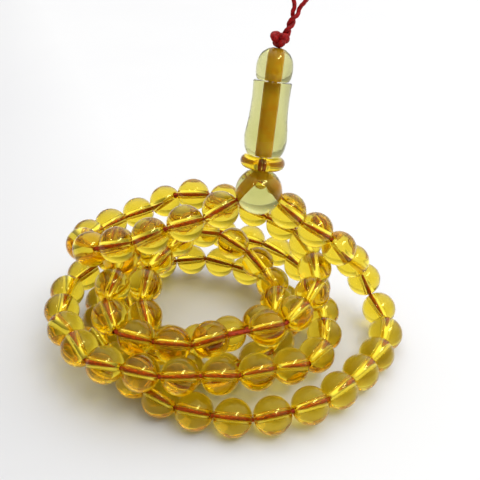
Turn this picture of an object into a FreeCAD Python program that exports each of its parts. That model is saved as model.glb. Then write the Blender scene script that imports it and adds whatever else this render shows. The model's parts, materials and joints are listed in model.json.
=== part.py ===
"""Misbaha: 99 drilled resin beads on one red cord, with a three-hole leader bead,
a collar ring, a two-part imam, a knot and a hanging loop.  Millimetres, +Z up.
The strand lies in a loose pile of crossing loops on a flat surface, and its head
stands up from the pile on the cord.  Origin: on that surface, under the pile."""

import FreeCAD, Part
import math
import os
from FreeCAD import Vector

# ---- beads ----
bead_count = 99
bead_diameter = 8.0
bead_bore = 1.5
mouth_width = 0.2            # how far each drilled mouth is opened out
contact_gap = 0.05           # air between two beads that lie against each other
bare_stretch = 4.4           # cord that shows between two beads of the top strand
bare_after = 80              # the bead that the bare stretch follows
slack = 0.12                 # most that two neighbours may stand further apart
fold_reach = 14.3            # a bead stays this far from the next but one: no sharper folds

# ---- cord ----
cord_diameter = 0.9
strand_gap = 0.06            # air between the two strands where they run side by side
bend_reach = 1.2             # a bend between two beads takes this much of each run
corner_rounds = 60           # how often the cord's corners are moved to centre its runs

# ---- head: leader bead, collar ring, imam and its cap on one leaning axis ----
leader_place = Vector(7.8, 0.6, 39.9)
leader_diameter = 10.0
leader_bore = 1.8
head_lean_right = 6.9        # degrees from upright, towards +X
head_lean_back = 14.0        # degrees from upright, towards +Y
left_hole = Vector(-0.93, -0.21, -0.31)
right_hole = Vector(0.74, 0.33, -0.59)
junction_height = 2.6        # where the leader bead's three bores meet
head_bore = 2.3
stack_gap = 0.08             # air between the pieces of the head
ring_diameter = 9.4
ring_height = 2.75
imam_length = 15.2
cap_length = 6.45

# ---- knot, twisted pair and hanging loop ----
knot_width = 4.0
knot_height = 3.3
twist_diameter = 1.6
twist_start = (1.2, 2.0)     # from the knot's foot: across towards +X, up along the head
twist_end = (2.75, 7.0)
loop_lean = 0.15             # how far the loop leans to +X for each mm along the head

bead_radius = bead_diameter / 2
leader_radius = leader_diameter / 2
head_axis = Vector(
    math.tan(math.radians(head_lean_right)), math.tan(math.radians(head_lean_back)), 1
).normalize()
head_side = (Vector(1, 0, 0) - head_axis * head_axis.x).normalize()
ring_foot = math.sqrt(leader_radius ** 2 - (head_bore / 2) ** 2) + stack_gap
imam_foot = ring_foot + ring_height + stack_gap
cap_foot = imam_foot + imam_length + stack_gap
knot_foot = cap_foot + cap_length + stack_gap

# The hanging loop, chosen by hand: across and up from the end of the twisted pair.
loop_route = [
    (-0.6, 0.45), (-1.75, 3.5), (-3.1, 8), (-3.4, 13.4), (-1.4, 15.4),
    (1.4, 15.5), (3.4, 13.5), (3.0, 8.5), (1.8, 3.8), (0.6, 0.25),
]

# The strand's route through the pile, chosen by hand: the centres of the odd-numbered
# beads, from the leader bead's right hole round to its left hole.
route = [
    # down from the head and once round on the surface
    (14.5, 2.5, 34), (26.5, 4, 23.5), (34.5, 9.5, 10.5), (37.5, -2.5, 4), (30, -16.5, 4.5),
    (18, -27, 5), (2.5, -29.5, 4), (-12.5, -24.5, 4.5), (-24, -13, 5), (-30, 2, 4.5),
    (-29.5, 17.5, 4), (-17.5, 28, 4), (-1.5, 26.5, 5.5), (12, 18, 4.5), (15, 2.5, 4),
    # inner loop: along the surface, then up over the hole in the middle and down again
    (7.5, -11.5, 4), (-7.5, -16, 5), (-17.5, -6.5, 12), (-16, 8, 18), (-5, 19.5, 18.5),
    (8, 15, 12.5), (12, 0, 10.5), (1.5, -10.5, 10), (-12.5, -5.5, 4), (-23, 6, 5),
    # second round, on top of the first: behind, right, along the front and out to the left
    (-21.5, 20.5, 10.5), (-9, 30, 13), (6.5, 27, 11.5), (19, 17.5, 10), (23.5, 2.5, 6.5),
    (20.5, -13, 6.5), (7.5, -21.5, 9), (-8.5, -25, 11), (-24, -22, 11.5), (-34.5, -10.5, 11.5),
    # folded back and once round inside, with the bare stretch in front
    (-37.5, 5.5, 10.5), (-28.5, 16, 13.5), (-24, 4, 20), (-24, -11, 15.5), (-10.5, -18, 13),
    (9.5, -14.5, 15), (20, -2.5, 15.5), (19.5, 12.5, 19.5), (7.5, 22, 23.5), (-8, 25, 26.5),
    # over the back and up to the head
    (-22.5, 26.5, 20.5), (-33, 15, 20.5), (-29.5, 0.5, 25.5), (-15.5, -4, 31.5), (-0.5, -1.5, 36.5),
]
before_the_bare_stretch = Vector(-2, -17, 14)

# Beads that stand alone in a node, and strand lengths that share one (first, last).
bead_groups = [(n, n) for n in (1, 2, 3, 4)]
bead_groups += [(5, 16), (17, 28), (29, 33), (34, 43), (44, 50), (51, 58)]
bead_groups += [(n, n) for n in range(59, bead_count + 1)]


def lay_out():
    """Bead centres in order: the route's own, and between two of them the point that the
    four nearest ones give."""
    known = [Vector(*point) for point in route]
    centres = []
    for n in range(len(known) - 1):
        before = known[max(n - 1, 0)]
        after = known[min(n + 2, len(known) - 1)]
        halfway = (known[n] + known[n + 1]) * 0.5625 - (before + after) * 0.0625
        centres += [known[n], halfway]
    centres.append(known[-1])
    centres[bare_after - 1] = before_the_bare_stretch
    return centres


def near_pairs(centres):
    """Pairs of beads near enough to meet, and the least and most distance between them."""
    reach = bead_diameter + contact_gap
    pairs = []
    for i in range(bead_count):
        for j in range(i + 1, bead_count):
            if j == i + 1 and j == bare_after:
                pairs.append((i, j, reach + bare_stretch - 0.2, reach + bare_stretch + 0.2))
            elif j == i + 1:
                pairs.append((i, j, reach, reach + slack))
            elif j == i + 2:
                pairs.append((i, j, fold_reach, 3 * fold_reach))
            elif (centres[j] - centres[i]).Length < bead_diameter + 3:
                pairs.append((i, j, reach, bead_count * reach))
    return pairs


def settle(centres, rounds=1500):
    """Push the beads apart and up off the surface, and keep their cord tight, until none
    overlap."""
    head_reach = leader_radius + bead_radius + contact_gap
    for count in range(rounds):
        if count % 20 == 0:
            pairs = near_pairs(centres)
        worst = 0.0
        for i, j, least, most in pairs:
            apart = centres[j] - centres[i]
            distance = apart.Length
            change = max(least - distance, 0) - max(distance - most, 0)
            worst = max(worst, abs(change))
            push = apart.normalize() * (change * 0.5)
            centres[j] = centres[j] + push
            centres[i] = centres[i] - push
        for i in range(bead_count):
            away = centres[i] - leader_place
            short = head_reach - away.Length
            if short > 0 or i in (0, bead_count - 1):
                centres[i] = centres[i] + away.normalize() * short
            if centres[i].z < bead_radius:
                centres[i] = Vector(centres[i].x, centres[i].y, bead_radius)
        if worst < contact_gap / 5:
            break
    print("settled after", count + 1, "rounds, largest miss", round(worst, 4))
    return centres


def to_origin(centres):
    """Move the pile so that the origin is under its middle; give the leader bead's centre."""
    middle = Vector(
        (min(c.x for c in centres) + max(c.x for c in centres)) / 2,
        (min(c.y for c in centres) + max(c.y for c in centres)) / 2,
        0,
    )
    return [c - middle for c in centres], leader_place - middle


def cord_corners(centres, leader_centre):
    """Where the cord turns: at both holes of the leader bead and just past each bead, moved
    sideways so that every straight run passes near the middle of its bead."""
    hole_reach = leader_radius + contact_gap
    past_bead = bead_radius + contact_gap
    ways = [(after - before).normalize() for before, after in zip(centres, centres[1:])]
    corners = [leader_centre + right_hole.normalize() * hole_reach]
    corners += [centre + way * past_bead for centre, way in zip(centres, ways)]
    corners.append(leader_centre + left_hole.normalize() * hole_reach)
    for count in range(corner_rounds):
        for i in range(bead_count):
            run = (corners[i + 1] - corners[i]).normalize()
            offset = centres[i] - corners[i]
            miss = offset - run * offset.dot(run)
            if i > 0:
                corners[i] = corners[i] + miss / 2
            if i < bead_count - 1:
                corners[i + 1] = corners[i + 1] + miss / 2
        for k in range(1, bead_count):
            along = (corners[k] - centres[k - 1]).dot(ways[k - 1])
            corners[k] = corners[k] - ways[k - 1] * (along - past_bead)
    return corners


def bead_axes(corners):
    """The direction of each bead's bore: from the corner before it to the one after."""
    return [(after - before).normalize() for before, after in zip(corners, corners[1:])]


def rounded_wire(points, reach_of):
    """Straight runs joined by tangent arcs; reach_of says how much of a run each takes."""
    edges = []
    at = points[0]
    radii = []
    for k in range(1, len(points) - 1):
        back = points[k - 1] - points[k]
        ahead = points[k + 1] - points[k]
        reach = reach_of(back.Length, ahead.Length)
        back.normalize()
        ahead.normalize()
        half_turn = (math.pi - back.getAngle(ahead)) / 2
        radius = reach / math.tan(half_turn)
        radii.append(radius)
        start = points[k] + back * reach
        end = points[k] + ahead * reach
        inward = (back + ahead).normalize()
        middle = points[k] + inward * (radius / math.cos(half_turn) - radius)
        edges.append(Part.LineSegment(at, start).toShape())
        edges.append(Part.Arc(start, middle, end).toShape())
        at = end
    edges.append(Part.LineSegment(at, points[-1]).toShape())
    print("  bend radii", [round(radius, 1) for radius in sorted(radii)[:12]])
    return Part.Wire(edges)


def tube(wire, diameter):
    first = wire.Edges[0]
    start = first.valueAt(first.FirstParameter)
    heading = first.tangentAt(first.FirstParameter)
    circle = Part.Wire(Part.Circle(start, heading, diameter / 2).toShape())
    solid = wire.makePipeShell([circle], True, True)
    expected = math.pi * diameter ** 2 / 4 * wire.Length
    print("  length", round(wire.Length, 1), "volume ratio", round(solid.Volume / expected, 4))
    return solid


def along_head(leader_centre, height, across=0.0):
    return leader_centre + head_axis * height + head_side * across


def stringing_cord(centres, leader_centre):
    """One cord: down the head, round through every bead and up the head again."""
    beside = (cord_diameter + strand_gap) / 2
    corners = cord_corners(centres, leader_centre)
    points = [
        along_head(leader_centre, knot_foot, beside),
        along_head(leader_centre, junction_height, beside),
    ]
    points += corners
    points += [
        along_head(leader_centre, junction_height, -beside),
        along_head(leader_centre, knot_foot, -beside),
    ]
    wire = rounded_wire(points, lambda back, ahead: bend_reach)
    return tube(wire, cord_diameter)


def turned(edges):
    """A solid of revolution about Z from a closed half-section in the XZ plane."""
    return Part.Face(Part.Wire(edges)).revolve(Vector(), Vector(0, 0, 1), 360)


def line(a, b):
    return Part.LineSegment(Vector(a[0], 0, a[1]), Vector(b[0], 0, b[1])).toShape()


def arc(a, middle, b):
    return Part.Arc(*[Vector(r, 0, z) for r, z in (a, middle, b)]).toShape()


def smooth(points):
    curve = Part.BSplineCurve()
    curve.interpolate([Vector(r, 0, z) for r, z in points])
    return curve.toShape()


def placed(shape, centre, direction):
    piece = shape.copy()
    piece.Placement = FreeCAD.Placement(centre, FreeCAD.Rotation(Vector(0, 0, 1), direction))
    return piece


def drilled_ball(diameter, bore):
    """A ball with a bore along Z whose two mouths are opened out."""
    radius = diameter / 2
    mouth = bore / 2 + mouth_width
    mouth_height = math.sqrt(radius ** 2 - mouth ** 2)
    bore_height = mouth_height - mouth_width
    return turned([
        line((bore / 2, -bore_height), (bore / 2, bore_height)),
        line((bore / 2, bore_height), (mouth, mouth_height)),
        arc((mouth, mouth_height), (radius, 0), (mouth, -mouth_height)),
        line((mouth, -mouth_height), (bore / 2, -bore_height)),
    ])


def leader_bead(centres, leader_centre):
    """A ball with three bores that meet: one up the head and one to each side hole."""
    beside = (cord_diameter + strand_gap) / 2
    corners = cord_corners(centres, leader_centre)
    bead = Part.makeSphere(leader_radius, leader_centre)
    for hole, across in ((corners[0], beside), (corners[-1], -beside)):
        junction = along_head(leader_centre, junction_height, across)
        outward = (hole - junction).normalize()
        bead = bead.cut(Part.makeCylinder(leader_bore / 2, leader_diameter, junction, outward))
    foot = along_head(leader_centre, junction_height - 0.6)
    return bead.cut(Part.makeCylinder(head_bore / 2, leader_diameter, foot, head_axis))


def collar_ring():
    """A flat-faced ring with a fully rounded rim."""
    inner = head_bore / 2
    half = ring_height / 2
    rim = ring_diameter / 2 - half
    return turned([
        line((inner, 0), (inner, ring_height)),
        line((inner, ring_height), (rim, ring_height)),
        arc((rim, ring_height), (ring_diameter / 2, half), (rim, 0)),
        line((rim, 0), (inner, 0)),
    ])


def imam():
    """The long turned bead: a rounded foot, a belly, a slight waist and a square shoulder."""
    inner = head_bore / 2
    top = imam_length
    return turned([
        line((inner, 0), (2.8, 0)),
        arc((2.8, 0), (3.75, 0.5), (4.25, 1.7)),
        smooth([(4.25, 1.7), (4.48, 3.6), (4.02, 7.8), (3.87, 11.5), (3.97, top - 0.25)]),
        arc((3.97, top - 0.25), (3.9, top - 0.07), (3.72, top)),
        line((3.72, top), (inner, top)),
        line((inner, top), (inner, 0)),
    ])


def imam_cap():
    """The domed bead on top of the imam."""
    inner = head_bore / 2
    return turned([
        line((inner, 0), (2.9, 0)),
        arc((2.9, 0), (3.46, 0.45), (3.72, 1.5)),
        smooth([(3.72, 1.5), (3.76, 2.8), (3.5, 4.2), (2.9, 5.35), (2.0, 6.1), (inner, cap_length)]),
        line((inner, cap_length), (inner, 0)),
    ])


def knot():
    """The knot's outer shape: two bulges, one over the other."""
    wide = knot_width / 2
    return turned([
        line((0, 0), (1.35, 0)),
        arc((1.35, 0), (1.7, 0.6), (1.5, 1.2)),
        arc((1.5, 1.2), (wide, 2.1), (1.2, knot_height)),
        line((1.2, knot_height), (0, knot_height)),
        line((0, knot_height), (0, 0)),
    ])


def twist_ends(leader_centre):
    return [
        along_head(leader_centre, knot_foot + up, across) for across, up in (twist_start, twist_end)
    ]


def twisted_cord(leader_centre):
    """The pair of strands between the knot and the loop, as one round bar."""
    start, end = twist_ends(leader_centre)
    return Part.makeCylinder(twist_diameter / 2, (end - start).Length, start, end - start)


def hanging_loop(leader_centre):
    foot = twist_ends(leader_centre)[1]
    rise = (head_axis + head_side * loop_lean).normalize()
    beside = (head_side - head_axis * loop_lean).normalize()
    points = [foot + beside * across + rise * up for across, up in loop_route]
    return tube(rounded_wire(points, lambda back, ahead: 0.45 * min(back, ahead)), cord_diameter)


def main():
    os.makedirs("parts", exist_ok=True)
    centres, leader_centre = to_origin(settle(lay_out()))
    axes = bead_axes(cord_corners(centres, leader_centre))
    bead = drilled_ball(bead_diameter, bead_bore)
    beads = [placed(bead, centre, axis) for centre, axis in zip(centres, axes)]
    nodes = {}
    for first, last in bead_groups:
        if first == last:
            nodes["bead_%02d" % first] = beads[first - 1]
        else:
            nodes["beads_%02d_to_%02d" % (first, last)] = Part.makeCompound(beads[first - 1:last])
    nodes["stringing_cord"] = stringing_cord(centres, leader_centre)
    nodes["leader_bead"] = leader_bead(centres, leader_centre)
    for name, shape, foot in (
        ("collar_ring", collar_ring(), ring_foot),
        ("imam", imam(), imam_foot),
        ("imam_cap", imam_cap(), cap_foot),
    ):
        nodes[name] = placed(shape, along_head(leader_centre, foot), head_axis)
    twist = twisted_cord(leader_centre)
    nodes["knot"] = placed(knot(), along_head(leader_centre, knot_foot), head_axis).cut(twist)
    nodes["twisted_cord"] = twist
    nodes["hanging_loop"] = hanging_loop(leader_centre)
    for name, shape in nodes.items():
        shape.exportStep("parts/%s.step" % name)
    print(len(nodes), "nodes")


main()
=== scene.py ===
"""Looks of the misbaha: clear amber resin beads on a twisted red cord, in a pale studio."""

import json
import math

import bmesh
import bpy
import numpy as np
from mathutils import Matrix, Vector


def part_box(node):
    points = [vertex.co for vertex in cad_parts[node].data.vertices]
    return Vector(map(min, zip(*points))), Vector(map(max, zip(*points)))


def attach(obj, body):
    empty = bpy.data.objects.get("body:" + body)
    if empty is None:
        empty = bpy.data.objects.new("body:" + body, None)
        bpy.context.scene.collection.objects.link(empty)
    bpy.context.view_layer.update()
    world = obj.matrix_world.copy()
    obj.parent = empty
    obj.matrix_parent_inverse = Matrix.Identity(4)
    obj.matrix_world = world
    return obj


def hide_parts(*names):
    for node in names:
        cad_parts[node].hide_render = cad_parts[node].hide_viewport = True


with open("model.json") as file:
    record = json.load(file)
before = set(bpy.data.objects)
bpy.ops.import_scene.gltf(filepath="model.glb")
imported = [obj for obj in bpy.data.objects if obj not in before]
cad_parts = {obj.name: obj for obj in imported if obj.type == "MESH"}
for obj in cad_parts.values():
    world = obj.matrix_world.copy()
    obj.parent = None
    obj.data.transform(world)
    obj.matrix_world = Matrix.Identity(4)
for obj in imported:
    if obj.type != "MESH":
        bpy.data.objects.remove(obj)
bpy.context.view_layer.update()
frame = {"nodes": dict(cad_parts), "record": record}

MM = 0.001

# beads
BEAD_COUNT = 99
BEAD_RADIUS = 4.0 * MM
BORE_RADIUS = 0.75 * MM
BEAD_SIDES = 56
LIP = 0.16 * MM                     # rounding of a bore's mouth

# head
LEADER_RADIUS = 5.0 * MM
LEADER_BORE_RADIUS = 0.9 * MM
HEAD_BORE = 1.15                    # radius in mm, as in the outlines of the head's pieces
HEAD_BORE_RADIUS = HEAD_BORE * MM
HEAD_SIDES = 112
RING_SIDES = 96
HEAD_FEET = {                       # along the head's axis, from the leader bead's centre
    "collar_ring": 4.946 * MM,
    "imam": 7.776 * MM,
    "imam_cap": 23.056 * MM,
}
# ways from the leader bead's centre to its two side holes
RIGHT_HOLE = Vector((0.74, 0.33, -0.59)).normalized()
LEFT_HOLE = Vector((-0.93, -0.21, -0.31)).normalized()
HOLE_REACH = 5.05 * MM              # from the leader bead's centre to just outside its holes
JUNCTION_HEIGHT = 2.6 * MM          # where the two ends meet inside the leader bead
BESIDE = 0.48 * MM                  # from the head's axis to each of the two cords

# cord
CORD_RADIUS = 0.45 * MM
CORD_STEP = 0.22 * MM
PAST_BEAD = BEAD_RADIUS + 0.05 * MM  # from a bead's centre to the cord's turn beside it
RELAXING_ROUNDS = 60                # of moving the corners towards straight runs through the beads
TURN_REACH = 1.4 * MM               # the cord turns within this distance of a corner
HEAD_RUN = 9 * MM                   # the route's points in the head stand this far from its ends

# knot and loop
KNOT_RISE = 28.51 * MM              # how much higher the knot's foot is than the leader's centre
KNOT_CENTRE = (0.25 * MM, 1.7 * MM)  # from the knot's foot: across, along the head
KNOT_SIZE = (0.49, 0.34, 0.75)      # across, along the head and in depth
KNOT_TILT = -8                      # degrees
KNOT_CORD_RADIUS = 0.72 * MM
TWIST_START = (1.2 * MM, 2.0 * MM)  # from the knot's foot: across, along the head
TWIST_END = (2.75 * MM, 7.0 * MM)
TWIST_TURNS = 1.25
TWIST_RADIUS = 0.4 * MM
LOOP_LEAN = 0.15
LOOP_ROUTE = [                      # in mm from the twisted pair's end: beside, along the loop
    (-1.75, 3.5), (-3.1, 8), (-3.4, 13.4), (-1.4, 15.4),
    (1.4, 15.5), (3.4, 13.5), (3.0, 8.5), (1.8, 3.8),
]
LOOP_STEP = 0.15 * MM

# resin: its index of refraction, and the tint and density of its depth
RESIN_IOR = 1.53
GOLDEN_DEPTH = ((0.967, 0.906, 0.25), 600.0)
PALE_DEPTH = ((0.75, 0.745, 0.175), 200.0)

# studio
CAMERA_PLACE = (3.67 * MM, -130.75 * MM, 106.35 * MM)
CAMERA_PITCH = 30.94                # degrees below level
CAMERA_LENS = 51.69
FLOOR_HALF_SIZE = 12.0
FLOOR_PAINTED_SHADE_WAY = (-6.0, -2.2, 0)   # painted shade darkens the floor a little this way
BRIGHT_SIDE = (0.3, 0.4, 0.87)      # the room is brightest on this side
ROOM_TONES = [(0.3, 0.12), (0.68, 0.42), (0.8, 0.95), (0.9, 1.6)]  # how far that way, brightness
ROOM_STRENGTH = 0.955
TUBE_SIDE = (0.40, -0.31, 0.86)     # from the pile to the ceiling's tube
TUBE_WAY = (0.479, 0.878, 0.008)    # the way its length runs
LAMP_SIDE = (-0.41, -0.37, 0.83)


# ---------------------------------------------------------------- small helpers
def new_object(name, mesh):
    piece = bpy.data.objects.new(name, mesh)
    bpy.context.scene.collection.objects.link(piece)
    return piece


def body_of(node):
    """The body that a CAD node belongs to."""
    for body, nodes in frame["record"]["behaviour"]["bodies"].items():
        if node in nodes:
            return body
    raise ValueError(node)


def node_tree(name):
    material = bpy.data.materials.new(name)
    material.use_nodes = True
    tree = material.node_tree
    return material, tree, tree.nodes["Principled BSDF"]


def add_noise(tree, scale, detail=2.0):
    """Noise in object coordinates, in metres."""
    place = tree.nodes.new("ShaderNodeTexCoord")
    noise = tree.nodes.new("ShaderNodeTexNoise")
    noise.inputs["Scale"].default_value = scale
    noise.inputs["Detail"].default_value = detail
    tree.links.new(place.outputs["Object"], noise.inputs["Vector"])
    return noise.outputs["Fac"]


def add_ramp(tree, factor, stops):
    """Colours spread over a factor: stops of (position, colour)."""
    ramp = tree.nodes.new("ShaderNodeValToRGB")
    elements = ramp.color_ramp.elements
    while len(elements) < len(stops):
        elements.new(0.5)
    for element, (position, colour) in zip(elements, stops):
        element.position = position
        element.color = (*colour, 1)
    tree.links.new(factor, ramp.inputs["Fac"])
    return ramp.outputs["Color"]


def add_bump(tree, shader, height, strength, distance):
    bump = tree.nodes.new("ShaderNodeBump")
    bump.inputs["Strength"].default_value = strength
    bump.inputs["Distance"].default_value = distance
    tree.links.new(height, bump.inputs["Height"])
    tree.links.new(bump.outputs["Normal"], shader.inputs["Normal"])


# ---------------------------------------------------------------- materials
def add_depth(tree, colour, density):
    """Light that passes through the resin loses some colour on the way."""
    depth = tree.nodes.new("ShaderNodeVolumeAbsorption")
    depth.inputs["Color"].default_value = (*colour, 1)
    depth.inputs["Density"].default_value = density
    tree.links.new(depth.outputs["Volume"], tree.nodes["Material Output"].inputs["Volume"])


def resin_material(name, depth):
    """Clear amber resin: it absorbs light along its depth, and its polish is not quite even."""
    material, tree, shader = node_tree(name)
    shader.inputs["Transmission Weight"].default_value = 1.0
    shader.inputs["IOR"].default_value = RESIN_IOR
    shader.inputs["Specular Tint"].default_value = (1.0, 0.92, 0.27, 1)
    tint = add_ramp(
        tree, add_noise(tree, 260.0), [(0.3, (0.98, 0.96, 0.9)), (0.7, (1.0, 1.0, 0.99))]
    )
    tree.links.new(tint, shader.inputs["Base Color"])
    polish = add_ramp(
        tree, add_noise(tree, 900.0, 4.0), [(0.35, (0.0, 0.0, 0.0)), (0.8, (0.05, 0.05, 0.05))]
    )
    tree.links.new(polish, shader.inputs["Roughness"])
    add_bump(tree, shader, add_noise(tree, 420.0, 1.5), 0.2, 0.0001)
    add_depth(tree, *depth)
    return material


def drilled_material(depth):
    """The rough wall of a drilled bore, stained by the amber wax of the cord."""
    material, tree, shader = node_tree("drilled_resin")
    shader.inputs["Transmission Weight"].default_value = 0.15
    shader.inputs["IOR"].default_value = 1.12
    shader.inputs["Roughness"].default_value = 0.35
    stain = add_ramp(
        tree, add_noise(tree, 500.0, 3.0), [(0.3, (1.0, 0.42, 0.01)), (0.7, (1.0, 0.58, 0.03))]
    )
    tree.links.new(stain, shader.inputs["Base Color"])
    add_depth(tree, *depth)
    return material


def cord_material(name, dark, middle, light):
    """Waxed thread with a soft sheen. Painted shade darkens its colour in the dips between its
    fibres, and their crests are lighter.
    """
    material, tree, shader = node_tree(name)
    fibres = add_noise(tree, 2600.0, 4.0)
    # painted shade: the noise that raises the fibres also darkens the colour where they dip and
    # lightens it on their crests
    colour = add_ramp(tree, fibres, [(0.3, dark), (0.55, middle), (0.8, light)])
    tree.links.new(colour, shader.inputs["Base Color"])
    shader.inputs["Roughness"].default_value = 0.55
    shader.inputs["Specular IOR Level"].default_value = 0.2
    shader.inputs["Sheen Weight"].default_value = 0.15
    shader.inputs["Sheen Tint"].default_value = (1.0, 0.25, 0.2, 1)
    shader.inputs["Sheen Roughness"].default_value = 0.4
    add_bump(tree, shader, fibres, 0.5, 0.00008)
    return material


def floor_material():
    """Pale and dull, with painted shade that darkens it a little towards the front left."""
    material, tree, shader = node_tree("pale_floor")
    tone = add_ramp(
        tree, add_noise(tree, 9.0, 3.0), [(0.3, (0.86, 0.86, 0.865)), (0.7, (0.88, 0.88, 0.88))]
    )
    place = tree.nodes.new("ShaderNodeTexCoord")
    toward = tree.nodes.new("ShaderNodeVectorMath")
    toward.operation = "DOT_PRODUCT"
    toward.inputs[1].default_value = FLOOR_PAINTED_SHADE_WAY
    tree.links.new(place.outputs["Object"], toward.inputs[0])
    # painted shade: the floor's colour darkens along this way, towards the front left
    painted_shade = add_ramp(
        tree, toward.outputs["Value"], [(0.0, (1, 1, 1)), (0.5, (0.8, 0.8, 0.81))]
    )
    mix = tree.nodes.new("ShaderNodeMix")
    mix.data_type = "RGBA"
    mix.blend_type = "MULTIPLY"
    mix.inputs["Factor"].default_value = 1.0
    tree.links.new(tone, mix.inputs["A"])
    tree.links.new(painted_shade, mix.inputs["B"])
    tree.links.new(mix.outputs["Result"], shader.inputs["Base Color"])
    shader.inputs["Roughness"].default_value = 0.7
    return material


GOLDEN = resin_material("golden_resin", GOLDEN_DEPTH)
PALE = resin_material("pale_resin", PALE_DEPTH)
DRILLED = drilled_material(PALE_DEPTH)
THREAD = cord_material(
    "red_thread", (0.12, 0.0005, 0.0005), (0.38, 0.001, 0.001), (0.62, 0.006, 0.005)
)
WAXED_THREAD = cord_material(
    "waxed_red_thread", (0.2, 0.014, 0.002), (0.52, 0.047, 0.005), (0.78, 0.11, 0.012)
)


# ---------------------------------------------------------------- turned pieces
def turned_mesh(name, outline, sides):
    """A closed mesh from an outline of (radius, height) points turned about Z."""
    angles = [2 * math.pi * k / sides for k in range(sides)]
    vertices = [
        (radius * math.cos(a), radius * math.sin(a), height)
        for radius, height in outline
        for a in angles
    ]
    faces = []
    rings = len(outline)
    for ring in range(rings):
        above = (ring + 1) % rings
        for side in range(sides):
            beside = (side + 1) % sides
            faces.append((
                ring * sides + side, ring * sides + beside,
                above * sides + beside, above * sides + side,
            ))
    mesh = bpy.data.meshes.new(name)
    mesh.from_pydata(vertices, [], faces)
    mesh.polygons.foreach_set("use_smooth", [True] * len(mesh.polygons))
    return mesh


def bead_outline():
    """The outer ball, its two rounded mouths and the bore between them."""
    mouth = math.asin((BORE_RADIUS + LIP) / BEAD_RADIUS)
    outline = [
        (BEAD_RADIUS * math.sin(t), BEAD_RADIUS * math.cos(t))
        for t in np.linspace(math.pi - mouth, mouth, 40)
    ]
    top = BEAD_RADIUS * math.cos(mouth)
    lip = [
        (BORE_RADIUS + LIP * (1 - math.sin(t)), top - LIP * (1 - math.cos(t)))
        for t in map(math.radians, (30, 60, 90))
    ]
    outline += lip
    outline += [(BORE_RADIUS, z) for z in np.linspace(top - 2 * LIP, -top + 2 * LIP, 9)]
    outline += [(reach, -height) for reach, height in reversed(lip)]
    return outline


def stand_along(piece, centre, axis):
    """Turn a piece's mesh from Z to an axis and move its origin to a centre."""
    turn = Vector((0, 0, 1)).rotation_difference(axis).to_matrix().to_4x4()
    piece.data.transform(Matrix.Translation(centre) @ turn)
    piece.data.update()


# ---------------------------------------------------------------- where the strand runs
def loose_parts(node):
    """Boxes of the connected parts of a CAD node's mesh."""
    mesh = frame["nodes"][node].data
    points = np.empty(len(mesh.vertices) * 3)
    mesh.vertices.foreach_get("co", points)
    points = points.reshape(-1, 3)
    group = list(range(len(points)))

    def find(k):
        while group[k] != k:
            group[k] = group[group[k]]
            k = group[k]
        return k

    for edge in mesh.edges:
        a, b = find(edge.vertices[0]), find(edge.vertices[1])
        if a != b:
            group[b] = a
    roots = np.array([find(k) for k in range(len(points))])
    parts = [points[roots == root] for root in np.unique(roots)]
    return [(part.min(axis=0), part.max(axis=0)) for part in parts]


def bead_centres():
    """All the bead centres in order along the cord: from the box of a bead that has its own
    node, or from the round parts of a strand length, nearest first."""
    centres = []
    homes = []
    nodes = sorted(n for n in frame["nodes"] if n.startswith("bead"))
    for node in sorted(nodes, key=lambda n: int(n.split("_")[1])):
        if node.startswith("bead_"):
            low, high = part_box(node)
            centres.append((Vector(low) + Vector(high)) / 2)
            homes.append(node)
            continue
        found = [
            Vector((low + high) / 2)
            for low, high in loose_parts(node)
            if min(high - low) > 1.8 * BEAD_RADIUS
        ]
        while found:
            nearest = min(found, key=lambda c: (c - centres[-1]).length)
            found.remove(nearest)
            centres.append(nearest)
            homes.append(node)
    assert len(centres) == BEAD_COUNT, len(centres)
    return centres, homes


def joint_named(name):
    for joint in frame["record"]["behaviour"]["joints"]:
        if joint["name"] == name:
            return joint
    raise ValueError(name)


HEAD_AXIS = Vector(joint_named("imam_spin")["axis"]).normalized()
HEAD_SIDE = (Vector((1, 0, 0)) - HEAD_AXIS * HEAD_AXIS.x).normalized()
LEADER_CENTRE = sum((Vector(corner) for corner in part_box("leader_bead")), Vector()) / 2
KNOT_FOOT = LEADER_CENTRE + HEAD_AXIS * KNOT_RISE / HEAD_AXIS.z
CENTRES, HOMES = bead_centres()


def along_head(height, across=0.0):
    """A point beside the head's axis, that far from the leader bead's centre."""
    return LEADER_CENTRE + HEAD_AXIS * height + HEAD_SIDE * across


def cord_corners():
    """Where the cord turns: at both holes of the leader bead and just past each bead, moved
    sideways so that every straight run passes near the middle of its bead."""
    ways = [(after - before).normalized() for before, after in zip(CENTRES, CENTRES[1:])]
    corners = [LEADER_CENTRE + RIGHT_HOLE * HOLE_REACH]
    corners += [centre + way * PAST_BEAD for centre, way in zip(CENTRES, ways)]
    corners.append(LEADER_CENTRE + LEFT_HOLE * HOLE_REACH)
    for _ in range(RELAXING_ROUNDS):
        for i in range(BEAD_COUNT):
            run = (corners[i + 1] - corners[i]).normalized()
            offset = CENTRES[i] - corners[i]
            miss = offset - run * offset.dot(run)
            if i > 0:
                corners[i] += miss / 2
            if i < BEAD_COUNT - 1:
                corners[i + 1] += miss / 2
        for k in range(1, BEAD_COUNT):
            along = (corners[k] - CENTRES[k - 1]).dot(ways[k - 1])
            corners[k] -= ways[k - 1] * (along - PAST_BEAD)
    return corners


CORNERS = cord_corners()


# ---------------------------------------------------------------- beads
def make_beads():
    """Each bead at its CAD centre, its bore along the straight run of cord through it."""
    outline = bead_outline()
    for i in range(BEAD_COUNT):
        name = "amber_bead_%02d" % (i + 1)
        axis = (CORNERS[i + 1] - CORNERS[i]).normalized()
        piece = new_object(name, turned_mesh(name, outline, BEAD_SIDES))
        stand_along(piece, CENTRES[i], axis)
        piece.data.materials.append(GOLDEN)
        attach(piece, body_of(HOMES[i]))
        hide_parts(HOMES[i])


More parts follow.
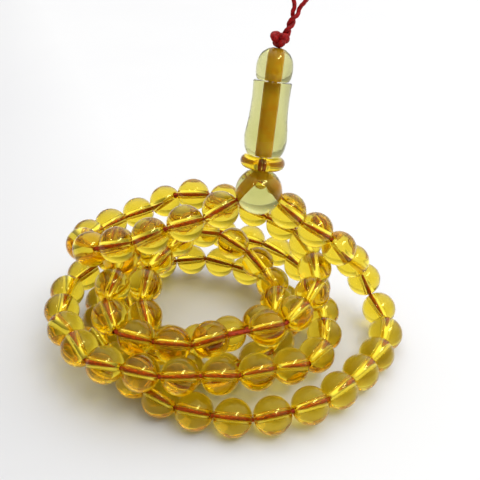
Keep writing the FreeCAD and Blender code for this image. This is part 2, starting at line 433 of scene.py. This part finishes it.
# ---------------------------------------------------------------- tubes along a path
def nurbs_points(points, resolution):
    """Points read from the smooth curve whose control points are given."""
    data = bpy.data.curves.new("route", "CURVE")
    data.dimensions = "3D"
    data.resolution_u = resolution
    spline = data.splines.new("NURBS")
    spline.points.add(len(points) - 1)
    for place, point in zip(spline.points, points):
        place.co = (*point, 1)
    spline.order_u = 3
    spline.use_endpoint_u = True
    holder = bpy.data.objects.new("route", data)
    mesh = bpy.data.meshes.new_from_object(holder)
    found = [v.co.copy() for v in mesh.vertices]
    bpy.data.objects.remove(holder)
    bpy.data.curves.remove(data)
    bpy.data.meshes.remove(mesh)
    return found


def evenly(points, step):
    """The same path with its points about one step apart."""
    path = np.array([tuple(p) for p in points])
    lengths = np.linalg.norm(np.diff(path, axis=0), axis=1)
    along = np.concatenate([[0], np.cumsum(lengths)])
    count = max(int(along[-1] / step), 2)
    places = np.linspace(0, along[-1], count + 1)
    return np.stack([np.interp(places, along, path[:, k]) for k in range(3)], axis=1)


def frames_along(path):
    """Two cross directions at each point, carried along without twist."""
    tangents = np.gradient(path, axis=0)
    tangents /= np.linalg.norm(tangents, axis=1)[:, None]
    start = np.cross(tangents[0], (0.0, 1.0, 0.0))
    across = [start / np.linalg.norm(start)]
    for tangent in tangents[1:]:
        carried = across[-1] - tangent * np.dot(across[-1], tangent)
        across.append(carried / np.linalg.norm(carried))
    across = np.array(across)
    return across, np.cross(tangents, across)


def nearest_start(ring, point):
    """Which point of the first ring is nearest to a point of the last one."""
    return int(np.argmin([np.linalg.norm(v - point) for v in ring]))


def thread_mesh(name, path, radius, plies=3, lay=3.2 * MM, sides=15, closed=False):
    """A tube of twisted thread: its section has one lobe a ply and turns along it. It has two
    end faces, or its end joins its start when it is closed."""
    across, beside = frames_along(path)
    step = np.linalg.norm(path[1] - path[0])
    vertices = []
    for k, centre in enumerate(path):
        twist = 2 * math.pi * k * step / lay
        for s in range(sides):
            angle = 2 * math.pi * s / sides
            lobe = abs(math.cos((angle - twist) * plies / 2))
            reach = radius * (0.82 + 0.18 * lobe ** 0.6)
            out = across[k] * (reach * math.cos(angle)) + beside[k] * (reach * math.sin(angle))
            vertices.append(centre + out)
    faces = []
    for k in range(len(path) - 1):
        for s in range(sides):
            n = (s + 1) % sides
            faces.append((k * sides + s, k * sides + n, (k + 1) * sides + n, (k + 1) * sides + s))
    last = (len(path) - 1) * sides
    if closed:
        shift = nearest_start(vertices[:sides], vertices[last])
        for s in range(sides):
            n = (s + 1) % sides
            faces.append((last + s, last + n, (n + shift) % sides, (s + shift) % sides))
    else:
        faces.append(tuple(reversed(range(sides))))
        faces.append(tuple(range(last, last + sides)))
    mesh = bpy.data.meshes.new(name)
    mesh.from_pydata([tuple(v) for v in vertices], [], faces)
    mesh.polygons.foreach_set("use_smooth", [True] * len(mesh.polygons))
    return mesh


def add_cord_piece(name, mesh, material, *nodes):
    """A piece of thread on the strand that stands in for some CAD nodes."""
    piece = new_object(name, mesh)
    piece.data.materials.append(material)
    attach(piece, "strand")
    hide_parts(*nodes)
    return piece


def rounded(before, turns, after):
    """Control points that keep the runs straight and turn only near each corner."""
    ends = [before] + turns + [after]
    points = []
    for k, corner in enumerate(turns, 1):
        back = (ends[k - 1] - corner).normalized()
        ahead = (ends[k + 1] - corner).normalized()
        points += [corner + back * TURN_REACH, corner, corner + ahead * TURN_REACH]
    return points


def make_stringing_cord():
    """One thread: down the head, round through every bead and up the head again."""
    top = (KNOT_FOOT - LEADER_CENTRE).length
    heights = [top, top - HEAD_RUN, HEAD_RUN]
    down = [along_head(height, BESIDE) for height in heights]
    up = [along_head(height, -BESIDE) for height in reversed(heights)]
    turns = [along_head(JUNCTION_HEIGHT, BESIDE)]
    turns += CORNERS
    turns.append(along_head(JUNCTION_HEIGHT, -BESIDE))
    route = down + rounded(down[-1], turns, up[0]) + up
    path = evenly(nurbs_points(route, 8), CORD_STEP)
    mesh = thread_mesh("stringing", path, CORD_RADIUS)
    add_cord_piece("red_stringing_thread", mesh, WAXED_THREAD, "stringing_cord")


# ---------------------------------------------------------------- head
def roughen_bore(mesh):
    """Give the wall of the bore, which runs along Z, the drilled surface."""
    mesh.materials.append(DRILLED)
    for polygon in mesh.polygons:
        if math.hypot(polygon.center.x, polygon.center.y) < HEAD_BORE_RADIUS * 1.02:
            polygon.material_index = 1


def make_head_piece(name, node, outline, material, sides):
    """A turned piece that stands on the head's axis where its CAD node stands."""
    mesh = turned_mesh(name, [(r * MM, z * MM) for r, z in outline], sides)
    mesh.materials.append(material)
    if material is PALE:
        roughen_bore(mesh)
    piece = new_object(name, mesh)
    stand_along(piece, along_head(HEAD_FEET[node]), HEAD_AXIS)
    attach(piece, body_of(node))
    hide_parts(node)


def curve_points(controls, count):
    """A smooth outline through the controls (Catmull-Rom), with count points a span."""
    padded = [controls[0]] + list(controls) + [controls[-1]]
    points = []
    for n in range(1, len(padded) - 2):
        p0, p1, p2, p3 = [np.array(p) for p in padded[n - 1:n + 3]]
        for t in np.linspace(0, 1, count, endpoint=False):
            points.append(tuple(
                0.5 * (2 * p1 + (p2 - p0) * t + (2 * p0 - 5 * p1 + 4 * p2 - p3) * t ** 2
                       + (3 * p1 - p0 - 3 * p2 + p3) * t ** 3)
            ))
    points.append(tuple(padded[-2]))
    return points


def make_collar_ring():
    """A flat ring with a round rim. Its outline is in mm: radius, height."""
    rim = 3.325
    half = 1.375
    outline = [(HEAD_BORE + 0.12, 0.0), (rim * 0.5, 0.0)]
    outline += [
        (rim + half * math.cos(t), half + half * math.sin(t))
        for t in np.linspace(-math.pi / 2, math.pi / 2, 28)
    ]
    outline += [(HEAD_BORE + 0.12, 2 * half), (HEAD_BORE, 2 * half - 0.12)]
    outline += [(HEAD_BORE, z) for z in np.linspace(2 * half - 0.5, 0.5, 6)]
    outline.append((HEAD_BORE, 0.12))
    make_head_piece("amber_collar_ring", "collar_ring", outline, GOLDEN, RING_SIDES)


def make_imam():
    """The long bead: a belly, a slight waist and a square shoulder, in mm: radius, height."""
    top = 15.2
    foot = curve_points([(2.6, 0.0), (3.4, 0.14), (3.9, 0.7), (4.25, 1.7)], 8)
    side = curve_points(
        [(4.25, 1.7), (4.48, 3.6), (4.3, 5.6), (4.02, 7.8), (3.87, 11.5), (3.97, 14.9)], 12
    )
    shoulder = [(3.97, 14.95), (3.93, 15.08), (3.84, 15.17), (3.7, top), (3.2, top), (2.4, top)]
    bore = [(HEAD_BORE + 0.1, top), (HEAD_BORE, top - 0.1)]
    bore += [(HEAD_BORE, z) for z in np.linspace(top - 0.5, 0.5, 24)]
    bore += [(HEAD_BORE, 0.1), (HEAD_BORE + 0.1, 0.0)]
    make_head_piece("amber_imam", "imam", foot + side[1:] + shoulder + bore, PALE, HEAD_SIDES)


def make_imam_cap():
    """The domed bead on top of the imam, in mm: radius, height."""
    top = 6.45
    foot = curve_points([(2.7, 0.0), (3.25, 0.15), (3.55, 0.65), (3.72, 1.5)], 8)
    dome = curve_points(
        [(3.72, 1.5), (3.76, 2.8), (3.5, 4.2), (2.9, 5.35), (2.0, 6.1), (HEAD_BORE + 0.12, top)],
        10,
    )
    bore = [(HEAD_BORE, top - 0.12)]
    bore += [(HEAD_BORE, z) for z in np.linspace(top - 0.6, 0.5, 14)]
    bore += [(HEAD_BORE, 0.1), (HEAD_BORE + 0.1, 0.0)]
    make_head_piece("amber_imam_cap", "imam_cap", foot + dome[1:] + bore, PALE, HEAD_SIDES)


def bore_cutter(start, direction, radius):
    """A long round rod from a point, to cut a bore with."""
    length = 10 * MM
    bm = bmesh.new()
    bmesh.ops.create_cone(
        bm, cap_ends=True, segments=64, radius1=radius, radius2=radius, depth=length
    )
    mesh = bpy.data.meshes.new("bore")
    bm.to_mesh(mesh)
    bm.free()
    piece = new_object("bore", mesh)
    stand_along(piece, start + direction * (length / 2), direction)
    return piece


def is_pole_wall(face, height):
    """Whether a face is part of the wall that runs from pole to pole."""
    heights = [v.co.z for v in face.verts]
    return max(heights) - min(heights) > height


def leader_ball():
    """The plain ball of the leader bead, its poles closed by small flat caps."""
    outline = [
        (LEADER_RADIUS * math.sin(t), LEADER_RADIUS * math.cos(t))
        for t in np.linspace(math.pi - 0.02, 0.02, 64)
    ]
    mesh = turned_mesh("ball", outline, HEAD_SIDES)
    bm = bmesh.new()
    bm.from_mesh(mesh)
    inside = [f for f in bm.faces if is_pole_wall(f, abs(outline[0][1]))]
    bmesh.ops.delete(bm, geom=inside, context="FACES")
    bmesh.ops.holes_fill(bm, edges=[e for e in bm.edges if e.is_boundary], sides=0)
    bmesh.ops.recalc_face_normals(bm, faces=bm.faces)
    bm.to_mesh(mesh)
    bm.free()
    mesh.transform(Matrix.Translation(LEADER_CENTRE))
    return new_object("ball", mesh)


def leader_normal(point, face_normal, bores):
    """The smooth normal of the leader bead at a point: of its ball, or of the nearest bore's
    wall that faces the same way as the face."""
    outward = (point - LEADER_CENTRE).normalized()
    if face_normal.dot(outward) > 0.7 and (point - LEADER_CENTRE).length > LEADER_RADIUS * 0.99:
        return outward
    walls = []
    for start, way, radius in bores:
        offset = point - start
        side = offset - way * offset.dot(way)
        if side.length > 0 and abs(face_normal.dot(side.normalized())) > 0.7:
            walls.append((abs(side.length - radius), -side.normalized()))
    return min(walls, key=lambda wall: wall[0])[1] if walls else face_normal


def leader_bores():
    """Start, direction and radius of the two side bores and the one up the head."""
    bores = []
    for hole, across in ((RIGHT_HOLE, BESIDE), (LEFT_HOLE, -BESIDE)):
        junction = along_head(JUNCTION_HEIGHT, across)
        outward = (LEADER_CENTRE + hole * HOLE_REACH - junction).normalized()
        bores.append((junction, outward, LEADER_BORE_RADIUS))
    bores.append((along_head(JUNCTION_HEIGHT - 0.6 * MM), HEAD_AXIS, HEAD_BORE_RADIUS))
    return bores


def bored_mesh(ball, bores):
    """The ball's mesh with its bores cut; the ball and the cutters are removed."""
    cutters = [bore_cutter(*bore) for bore in bores]
    for piece in cutters:
        cut = ball.modifiers.new("bore", "BOOLEAN")
        cut.operation = "DIFFERENCE"
        cut.solver = "EXACT"
        cut.object = piece
    graph = bpy.context.evaluated_depsgraph_get()
    mesh = bpy.data.meshes.new_from_object(ball.evaluated_get(graph))
    for piece in cutters + [ball]:
        bpy.data.objects.remove(piece)
    return mesh


def make_leader_bead():
    """The three-hole ball: two side bores that rise to meet the one up the head."""
    bores = leader_bores()
    mesh = bored_mesh(leader_ball(), bores)
    mesh.polygons.foreach_set("use_smooth", [True] * len(mesh.polygons))
    mesh.materials.clear()
    mesh.materials.append(PALE)
    mesh.materials.append(DRILLED)
    normals = []
    for polygon in mesh.polygons:
        for index in polygon.vertices:
            normals.append(leader_normal(mesh.vertices[index].co, polygon.normal, bores))
        in_a_bore = (polygon.center - LEADER_CENTRE).length < LEADER_RADIUS * 0.985
        polygon.material_index = 1 if in_a_bore else 0
    mesh.normals_split_custom_set(normals)
    piece = new_object("amber_leader_bead", mesh)
    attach(piece, "strand")
    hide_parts("leader_bead")


# ---------------------------------------------------------------- knot and loop
def make_knot():
    """The overhand knot in the doubled cord: a trefoil of a thick twisted pair, drawn tight."""
    lobes = []
    for t in np.linspace(0, 2 * math.pi, 240, endpoint=False):
        lobes.append((
            math.sin(t) + 2 * math.sin(2 * t), math.cos(t) - 2 * math.cos(2 * t), -math.sin(3 * t)
        ))
    lobes = np.array(lobes) * np.array(KNOT_SIZE) * MM
    turn = math.radians(KNOT_TILT)
    centre = KNOT_FOOT + HEAD_AXIS * KNOT_CENTRE[1] + HEAD_SIDE * KNOT_CENTRE[0]
    depth = HEAD_SIDE.cross(HEAD_AXIS).normalized()
    path = []
    for x, y, z in lobes:
        across = x * math.cos(turn) - y * math.sin(turn)
        rise = x * math.sin(turn) + y * math.cos(turn)
        path.append(tuple(centre + HEAD_SIDE * across + HEAD_AXIS * rise + depth * z))
    mesh = thread_mesh(
        "knot", np.array(path), KNOT_CORD_RADIUS, plies=2, lay=2.6 * MM, sides=18, closed=True
    )
    add_cord_piece("red_tied_knot", mesh, THREAD, "knot")


def twisted(path, low, high):
    """The path with its two ends wound round each other from low to high. The winding fades
    out over half that distance beyond high, where the loop opens."""
    way = (high - low).normalized()
    span = (high - low).length
    first = (HEAD_SIDE - way * HEAD_SIDE.dot(way)).normalized()
    second = way.cross(first)
    strand = []
    for k, point in enumerate(path):
        height = (Vector(point) - low).dot(way) / span
        amount = TWIST_RADIUS * max(0.0, min(1.0, (1.5 - height) / 0.5)) ** 2
        phase = 2 * math.pi * TWIST_TURNS * (height - 1) + (math.pi if k < len(path) / 2 else 0)
        shift = first * (math.cos(phase) * amount) + second * (math.sin(phase) * amount)
        strand.append(tuple(Vector(point) + shift))
    return evenly(strand, LOOP_STEP)


def make_hanging_loop():
    """The pair of strands twisted together above the knot, opening into the loop."""
    low = KNOT_FOOT + HEAD_AXIS * TWIST_START[1] + HEAD_SIDE * TWIST_START[0]
    high = KNOT_FOOT + HEAD_AXIS * TWIST_END[1] + HEAD_SIDE * TWIST_END[0]
    rise = (HEAD_AXIS + HEAD_SIDE * LOOP_LEAN).normalized()
    beside = (HEAD_SIDE - HEAD_AXIS * LOOP_LEAN).normalized()
    loop = [high + beside * (a * MM) + rise * (u * MM) for a, u in LOOP_ROUTE]
    middle = (low + high) / 2
    route = [low, middle, high] + loop + [high, middle, low]
    strand = twisted(evenly(nurbs_points(route, 16), LOOP_STEP), low, high)
    mesh = thread_mesh("loop", strand, CORD_RADIUS, plies=3, lay=3.0 * MM, sides=18)
    piece = add_cord_piece("red_hanging_loop", mesh, THREAD, "twisted_cord", "hanging_loop")


# ---------------------------------------------------------------- studio
def make_camera():
    """In front of the pile and above it, looking down."""
    data = bpy.data.cameras.new("camera")
    data.sensor_width = 36
    data.lens = CAMERA_LENS
    data.clip_start = 0.005
    camera = bpy.data.objects.new("camera", data)
    camera.location = CAMERA_PLACE
    camera.rotation_euler = (math.radians(90 - CAMERA_PITCH), 0, 0)
    bpy.context.scene.collection.objects.link(camera)
    bpy.context.scene.camera = camera


def make_floor():
    """A wide flat floor under the pile."""
    bm = bmesh.new()
    bmesh.ops.create_grid(bm, x_segments=2, y_segments=2, size=FLOOR_HALF_SIZE)
    mesh = bpy.data.meshes.new("floor")
    bm.to_mesh(mesh)
    bm.free()
    floor = new_object("floor", mesh)
    floor.data.materials.append(floor_material())


def area_light(name, toward, distance, along, size, power):
    """A soft panel that faces the pile from a direction, its length along another."""
    data = bpy.data.lights.new(name, "AREA")
    data.shape = "RECTANGLE"
    data.size, data.size_y = size
    data.energy = power
    light = bpy.data.objects.new(name, data)
    way = Vector(toward).normalized()
    side = Vector(along)
    side = (side - way * side.dot(way)).normalized()
    light.location = way * distance
    light.rotation_euler = Matrix((side, way.cross(side), way)).transposed().to_euler()
    bpy.context.scene.collection.objects.link(light)
    return light


def make_lights():
    """A wide soft panel lights the pile; a tube and a small lamp only glint on the polish."""
    area_light("ceiling_panel", TUBE_SIDE, 2.1, TUBE_WAY, size=(1.3, 0.5), power=9.0)
    tube = area_light("ceiling_tube", TUBE_SIDE, 2.0, TUBE_WAY, size=(1.2, 0.15), power=11.0)
    lamp = area_light("ceiling_lamp", LAMP_SIDE, 2.0, (1, 0, 0), size=(0.16, 0.16), power=2.0)
    for glint in (tube, lamp):
        glint.visible_diffuse = False
        glint.visible_transmission = False


def make_world():
    """A pale room: bright high up, dim near the level and towards the front."""
    world = bpy.data.worlds.new("pale_room")
    bpy.context.scene.world = world
    world.use_nodes = True
    tree = world.node_tree
    place = tree.nodes.new("ShaderNodeTexCoord")
    toward = tree.nodes.new("ShaderNodeVectorMath")
    toward.operation = "DOT_PRODUCT"
    toward.inputs[1].default_value = BRIGHT_SIDE
    tree.links.new(place.outputs["Generated"], toward.inputs[0])
    shift = tree.nodes.new("ShaderNodeMath")
    shift.operation = "MULTIPLY_ADD"
    shift.inputs[1].default_value = 0.5
    shift.inputs[2].default_value = 0.5
    tree.links.new(toward.outputs["Value"], shift.inputs[0])
    tone = add_ramp(tree, shift.outputs[0], [(p, (v, v, v)) for p, v in ROOM_TONES])
    tree.links.new(tone, tree.nodes["Background"].inputs["Color"])
    tree.nodes["Background"].inputs["Strength"].default_value = ROOM_STRENGTH


def set_look():
    """Plain colours, and enough bounces for light to pass through many beads."""
    scene = bpy.context.scene
    scene.view_settings.view_transform = "Standard"
    scene.cycles.max_bounces = 64
    scene.cycles.transmission_bounces = 64
    scene.cycles.glossy_bounces = 24
    scene.cycles.diffuse_bounces = 4
    scene.cycles.transparent_max_bounces = 16
    scene.cycles.caustics_refractive = True
    scene.cycles.caustics_reflective = False
    scene.cycles.sample_clamp_indirect = 25.0


make_camera()
make_hanging_loop()
make_knot()
make_stringing_cord()
make_beads()
make_leader_bead()
make_collar_ring()
make_imam()
make_imam_cap()
make_floor()
make_world()
make_lights()
set_look()
